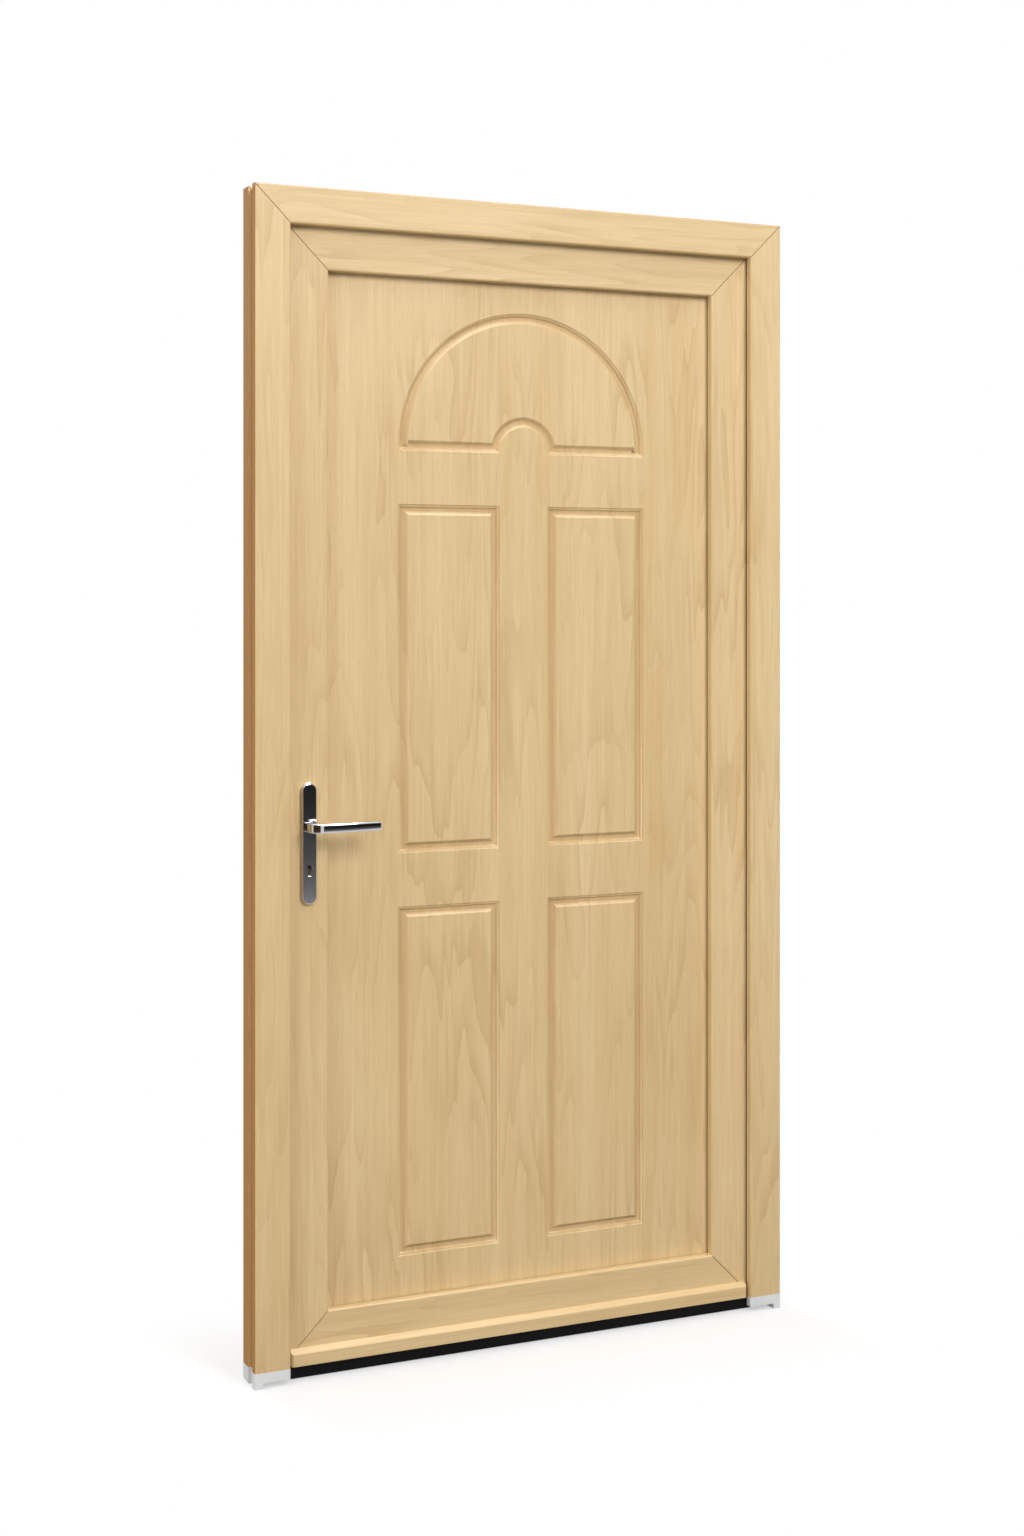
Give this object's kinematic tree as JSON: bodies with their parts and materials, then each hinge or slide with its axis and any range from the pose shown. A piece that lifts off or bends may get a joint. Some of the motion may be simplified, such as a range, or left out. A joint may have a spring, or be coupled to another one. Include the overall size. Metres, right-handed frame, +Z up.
{
  "type": "panelled front door with frame",
  "caption": "Inward-opening front door: moulded panel with an arch and rectangular fields, mitred wood-look profiles, lever handle on a plate, drip bar and low threshold, hung in its frame.",
  "frame": {"origin": "on the floor under the middle of the door's width, in the middle plane of the leaf", "axes": "+X along the width towards the hinges as seen from outside, +Y from outside to inside, +Z up"},
  "size_m": [1.06, 0.17, 2.1],
  "materials": {
    "foil": "light wood-grain foil, satin",
    "panel_foil": "light wood-grain foil, satin",
    "profile_steel": "galvanised",
    "gasket": "matt black",
    "end_block": "pale grey moulding",
    "threshold_plastic": "matt black",
    "tread": "mill finish",
    "hinge_enamel": "white powder coat",
    "lock_steel": "zinc plated",
    "screw_steel": "zinc plated",
    "handle_metal": "dark polished chrome"
  },
  "bodies": {
    "frame": {"frame_lock_jamb": "foil", "frame_hinge_jamb": "foil", "frame_head": "foil", "lock_jamb_steel": "profile_steel", "hinge_jamb_steel": "profile_steel", "head_steel": "profile_steel", "frame_gasket": "gasket", "lock_end_block": "end_block", "hinge_end_block": "end_block", "threshold_base": "threshold_plastic", "threshold_tread": "tread", "tread_screws": "screw_steel", "keep_plate": "lock_steel", "keep_screws": "screw_steel", "top_hinge_frame_half": "hinge_enamel", "middle_hinge_frame_half": "hinge_enamel", "bottom_hinge_frame_half": "hinge_enamel", "hinge_pins": "lock_steel", "hinge_washers": "threshold_plastic", "frame_hinge_screws": "screw_steel"},
    "leaf": {"sash_lock_stile": "foil", "sash_hinge_stile": "foil", "sash_top_rail": "foil", "sash_bottom_rail": "foil", "lock_stile_steel": "profile_steel", "hinge_stile_steel": "profile_steel", "top_rail_steel": "profile_steel", "bottom_rail_steel": "profile_steel", "door_panel": "panel_foil", "panel_packers": "threshold_plastic", "panel_outer_gasket": "gasket", "panel_inner_gasket": "gasket", "lock_bead": "foil", "hinge_bead": "foil", "top_bead": "foil", "bottom_bead": "foil", "sash_gasket": "gasket", "bottom_seal": "gasket", "drip_bar": "foil", "lock_case": "lock_steel", "lock_cover": "lock_steel", "lock_faceplate": "lock_steel", "faceplate_screws": "screw_steel", "outer_handle_plate": "handle_metal", "inner_handle_plate": "handle_metal", "handle_screws": "handle_metal", "top_hinge_leaf_half": "hinge_enamel", "middle_hinge_leaf_half": "hinge_enamel", "bottom_hinge_leaf_half": "hinge_enamel", "leaf_hinge_screws": "screw_steel"},
    "lever": {"outer_lever": "handle_metal", "inner_lever": "handle_metal", "lever_spindle": "lock_steel", "lock_follower": "lock_steel"},
    "latch": {"latch_bolt": "lock_steel"},
    "deadbolt": {"dead_bolt": "lock_steel"}
  },
  "joints": [
    {"name": "leaf_swing", "type": "hinge", "parent": "frame", "child": "leaf", "pos_m": [0.498, 0.047, 1.05], "axis": [0, 0, -1], "range_deg": [0, 105]},
    {"name": "lever_turn", "type": "hinge", "parent": "leaf", "child": "lever", "pos_m": [-0.426, 0, 0.974], "axis": [0, 1, 0], "range_deg": [0, 45], "stiffness_Nm_per_rad": 1.5, "springref_deg": -22.92},
    {"name": "latch_slide", "type": "slide", "parent": "leaf", "child": "latch", "axis": [1, 0, 0], "range_m": [0, 0.011]},
    {"name": "deadbolt_slide", "type": "slide", "parent": "leaf", "child": "deadbolt", "axis": [-1, 0, 0], "range_m": [0, 0.02]}
  ],
  "couplings": [
    {"joint": "latch_slide", "follows": "lever_turn", "m_per_rad": 0.014005}
  ]
}
